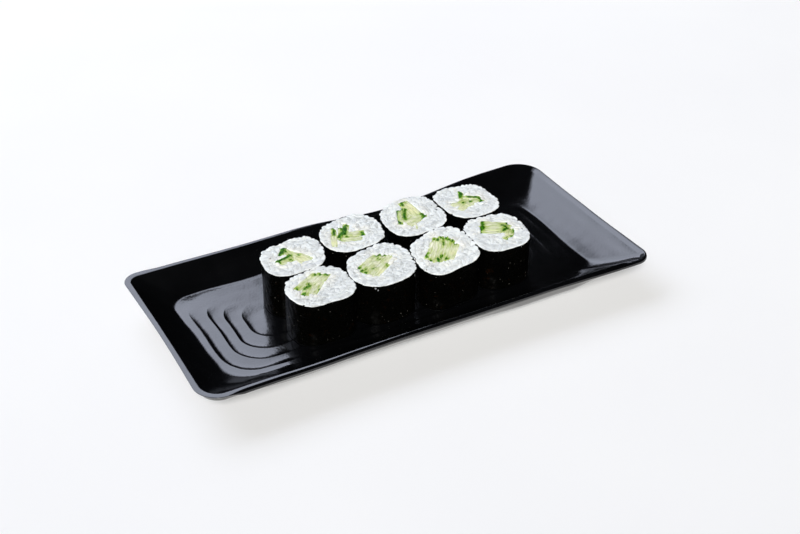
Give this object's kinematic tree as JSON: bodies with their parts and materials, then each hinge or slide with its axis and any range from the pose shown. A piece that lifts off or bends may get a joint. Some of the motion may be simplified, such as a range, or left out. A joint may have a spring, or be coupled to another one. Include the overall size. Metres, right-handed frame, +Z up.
{
  "type": "cucumber maki roll",
  "caption": "Cucumber maki rolls of seaweed, rice and cucumber sticks, standing cut side up on a glossy black rectangular plate with a raised rim and a ridged floor.",
  "frame": {"origin": "middle of the plate's outline, on the underside of its foot", "axes": "+X along the plate's long side, +Y from the front row of rolls to the back row, +Z up"},
  "size_m": [0.269, 0.1258, 0.0338],
  "materials": {
    "plate": "high gloss",
    "nori": "dull, slightly moist",
    "rice": "moist, translucent",
    "cucumber": "wet"
  },
  "bodies": {
    "root": {"plate": "plate", "nori_back_1": "nori", "nori_back_2": "nori", "nori_back_3": "nori", "nori_back_4": "nori", "nori_front_1": "nori", "nori_front_2": "nori", "nori_front_3": "nori", "nori_front_4": "nori", "rice_back_1": "rice", "rice_back_2": "rice", "rice_back_3": "rice", "rice_back_4": "rice", "rice_front_1": "rice", "rice_front_2": "rice", "rice_front_3": "rice", "rice_front_4": "rice", "cucumber_back_1": "cucumber", "cucumber_back_2": "cucumber", "cucumber_back_3": "cucumber", "cucumber_back_4": "cucumber", "cucumber_front_1": "cucumber", "cucumber_front_2": "cucumber", "cucumber_front_3": "cucumber", "cucumber_front_4": "cucumber"}
  },
  "joints": []
}
